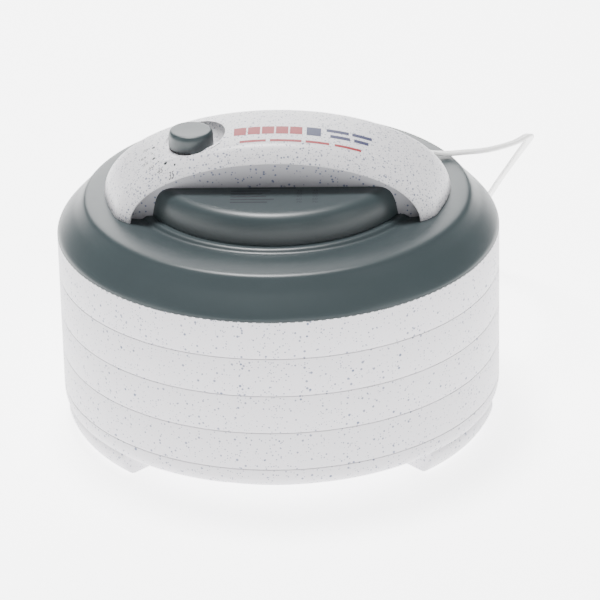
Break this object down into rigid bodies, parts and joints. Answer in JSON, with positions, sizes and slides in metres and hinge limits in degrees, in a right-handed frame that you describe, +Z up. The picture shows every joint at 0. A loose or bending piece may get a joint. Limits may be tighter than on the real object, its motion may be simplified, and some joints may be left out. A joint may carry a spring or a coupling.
{
  "type": "food dehydrator",
  "caption": "Round stackable food dehydrator with speckled off-white trays, a slate powered lid, an arched carry handle and a side thermostat knob.",
  "frame": {"origin": "centre of the footprint on the floor, under the middle of the stack", "axes": "+Z up, the front (the side with the open lip and the motor cover) faces -Y, the thermostat knob is on the -X end of the handle"},
  "size_m": [0.3725, 0.4671, 0.251],
  "materials": {
    "speckled_plastic": "satin off-white with fine blue-grey specks",
    "slate_plastic": "satin moulded grey-green",
    "cord_plastic": "soft white flexible plastic",
    "black_plastic": "moulded phenolic",
    "natural_plastic": "natural nylon and mica board",
    "lead_plastic": "insulated hook-up wire",
    "steel": "zinc-plated steel",
    "dark_steel": "oiled laminations and resistance wire",
    "copper_wire": "enamelled copper winding",
    "brass": "plain brass"
  },
  "bodies": {
    "base": {"base_pan": "speckled_plastic"},
    "tray_4": {"tray_4": "speckled_plastic", "tray_4_floor": "speckled_plastic"},
    "tray_3": {"tray_3": "speckled_plastic", "tray_3_floor": "speckled_plastic"},
    "tray_2": {"tray_2": "speckled_plastic", "tray_2_floor": "speckled_plastic"},
    "tray_1": {"tray_1": "speckled_plastic", "tray_1_floor": "speckled_plastic"},
    "power_head": {"lid_shell": "slate_plastic", "motor_cover": "slate_plastic", "handle_shell": "speckled_plastic", "handle_front_panel": "speckled_plastic", "handle_rear_panel": "speckled_plastic", "thermostat_body": "black_plastic", "thermostat_nut": "brass", "thermostat_bimetal": "brass", "motor_deck": "steel", "stator_core": "dark_steel", "coil_bobbin": "natural_plastic", "stator_coil": "copper_wire", "bearing_bracket_lower": "steel", "bearing_bracket_upper": "steel", "bushing_lower": "brass", "bushing_upper": "brass", "heater_wire": "dark_steel", "heater_support_1": "natural_plastic", "heater_support_2": "natural_plastic", "heater_support_3": "natural_plastic", "heater_support_4": "natural_plastic", "thermal_fuse": "brass", "lower_housing": "slate_plastic", "housing_screw_1": "steel", "housing_screw_2": "steel", "housing_screw_3": "steel", "housing_screw_4": "steel", "deck_screw_1": "steel", "deck_screw_2": "steel", "deck_screw_3": "steel", "deck_screw_4": "steel", "handle_screw_1": "steel", "handle_screw_2": "steel", "motor_screw_1": "steel", "motor_screw_2": "steel", "strain_relief": "cord_plastic", "thermostat_lead": "lead_plastic", "motor_lead": "lead_plastic", "heater_lead": "lead_plastic", "power_cord": "cord_plastic", "cord_coil": "cord_plastic", "cord_tie": "black_plastic", "plug_body": "cord_plastic", "plug_blade_left": "brass", "plug_blade_right": "brass"},
    "knob": {"thermostat_knob": "slate_plastic", "thermostat_shaft": "steel"},
    "fan": {"motor_rotor": "dark_steel", "motor_shaft": "steel", "fan_impeller": "natural_plastic", "fan_nut": "steel"}
  },
  "joints": [
    {"name": "tray_4_lift", "type": "slide", "parent": "base", "child": "tray_4", "axis": [0, 0, 1], "range_m": [0, 0.06]},
    {"name": "tray_3_lift", "type": "slide", "parent": "tray_4", "child": "tray_3", "axis": [0, 0, 1], "range_m": [0, 0.06]},
    {"name": "tray_2_lift", "type": "slide", "parent": "tray_3", "child": "tray_2", "axis": [0, 0, 1], "range_m": [0, 0.06]},
    {"name": "tray_1_lift", "type": "slide", "parent": "tray_2", "child": "tray_1", "axis": [0, 0, 1], "range_m": [0, 0.06]},
    {"name": "head_lift", "type": "slide", "parent": "tray_1", "child": "power_head", "axis": [0, 0, 1], "range_m": [0, 0.12]},
    {"name": "knob_turn", "type": "hinge", "parent": "power_head", "child": "knob", "pos_m": [-0.064, -0.025, 0.2348], "axis": [0, 0, 1], "range_deg": [-270, 0]},
    {"name": "fan_spin", "type": "hinge", "parent": "power_head", "child": "fan", "pos_m": [0, 0, 0.19], "axis": [0, 0, 1], "continuous": true}
  ]
}
